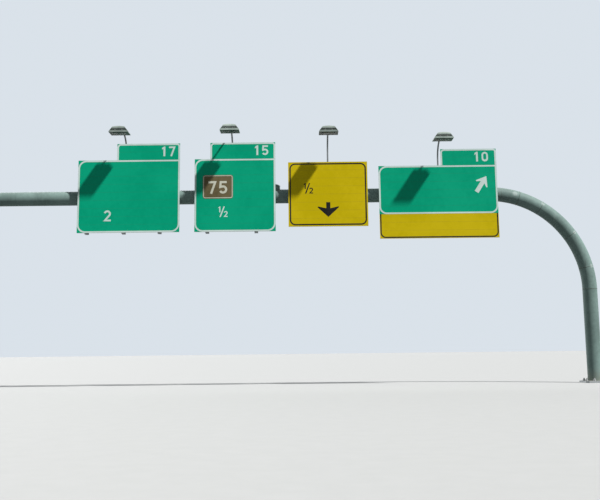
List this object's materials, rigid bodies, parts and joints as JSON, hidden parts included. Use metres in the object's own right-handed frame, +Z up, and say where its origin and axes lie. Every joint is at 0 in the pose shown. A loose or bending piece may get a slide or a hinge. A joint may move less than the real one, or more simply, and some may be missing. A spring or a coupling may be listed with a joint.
{
  "type": "overhead sign gantry",
  "caption": "Bent steel tube spanning a road on two columns, carrying bolted sign panels on upright posts, each with a lamp reaching out over it",
  "frame": {"origin": "middle of the left base plate's underside, on the column's axis", "axes": "+Z up; X runs along the beam from the left column to the right one; the signs face -Y, so a reader stands on the -Y side and looks along +Y"},
  "size_m": [25.9, 1.974, 9.138],
  "materials": {
    "frame_paint": "weathered satin paint",
    "galvanised_steel": "dull hot-dip zinc",
    "green_sheet": "green reflective sheeting on the front, bare aluminium behind",
    "yellow_sheet": "yellow reflective sheeting on the front, bare aluminium behind",
    "lamp_casting": "weathered light grey paint",
    "lamp_glass": "ribbed lamp glass"
  },
  "bodies": {
    "root": {"column_left": "frame_paint", "column_right": "frame_paint", "base_plate_left": "galvanised_steel", "base_plate_right": "galvanised_steel", "bend_left": "frame_paint", "bend_right": "frame_paint", "beam_tube": "frame_paint", "sign_1_panel": "green_sheet", "sign_1_tab": "green_sheet", "sign_1_posts": "galvanised_steel", "sign_1_brackets": "galvanised_steel", "sign_2_panel": "green_sheet", "sign_2_tab": "green_sheet", "sign_2_posts": "galvanised_steel", "sign_2_brackets": "galvanised_steel", "sign_3_panel": "yellow_sheet", "sign_3_posts": "galvanised_steel", "sign_3_brackets": "galvanised_steel", "sign_4_panel": "green_sheet", "sign_4_low_panel": "yellow_sheet", "sign_4_tab": "green_sheet", "sign_4_posts": "galvanised_steel", "sign_4_brackets": "galvanised_steel", "lamp_1_arm": "galvanised_steel", "lamp_2_arm": "galvanised_steel", "lamp_3_arm": "galvanised_steel", "lamp_4_arm": "galvanised_steel", "lamp_1_housing": "lamp_casting", "lamp_2_housing": "lamp_casting", "lamp_3_housing": "lamp_casting", "lamp_4_housing": "lamp_casting", "lamp_1_glass": "lamp_glass", "lamp_2_glass": "lamp_glass", "lamp_3_glass": "lamp_glass", "lamp_4_glass": "lamp_glass", "lamp_1_cap": "lamp_casting", "lamp_2_cap": "lamp_casting", "lamp_3_cap": "lamp_casting", "lamp_4_cap": "lamp_casting", "cable_box": "frame_paint", "cable_box_lid": "frame_paint"}
  },
  "joints": []
}
